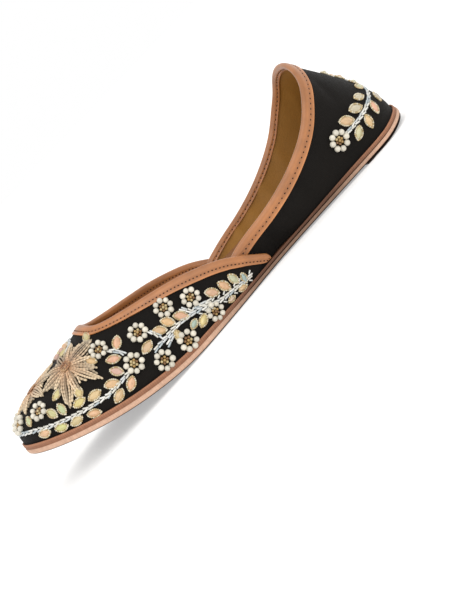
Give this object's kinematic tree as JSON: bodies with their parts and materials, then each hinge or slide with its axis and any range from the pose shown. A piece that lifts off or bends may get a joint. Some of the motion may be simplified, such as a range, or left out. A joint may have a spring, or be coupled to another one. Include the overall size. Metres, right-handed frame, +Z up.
{
  "type": "mojari shoe",
  "caption": "Flat slip-on cloth and leather shoe with an upturned toe, cut low at both sides of the waist, topline bound in leather.",
  "frame": {"origin": "on the floor, under the middle of the shoe's length", "axes": "+X towards the toe, +Y towards the wearer's left, +Z up"},
  "size_m": [0.25, 0.076, 0.0638],
  "materials": {
    "black_cloth": "black plain woven cloth, matt",
    "binding_leather": "tan leather strip, satin",
    "outsole_leather": "pale tan vegetable tanned leather, cut edge",
    "rand_leather": "darker tan leather, finely ribbed edge",
    "lining_leather": "brown lining leather, soft satin",
    "insole_cloth": "black cloth on the insole board",
    "black_rubber": "thin black rubber sheet and heel tap",
    "white_thread": "white cotton thread"
  },
  "bodies": {
    "root": {"bottom_sheet": "black_rubber", "outsole": "outsole_leather", "rand": "rand_leather", "heel_tap": "black_rubber", "insole": "insole_cloth", "heel_sock": "lining_leather", "fore_sock": "lining_leather", "flap_left": "lining_leather", "flap_right": "lining_leather", "bar_tack": "white_thread", "vamp": "black_cloth", "quarter": "black_cloth", "vamp_binding": "binding_leather", "quarter_binding": "binding_leather"}
  },
  "joints": []
}
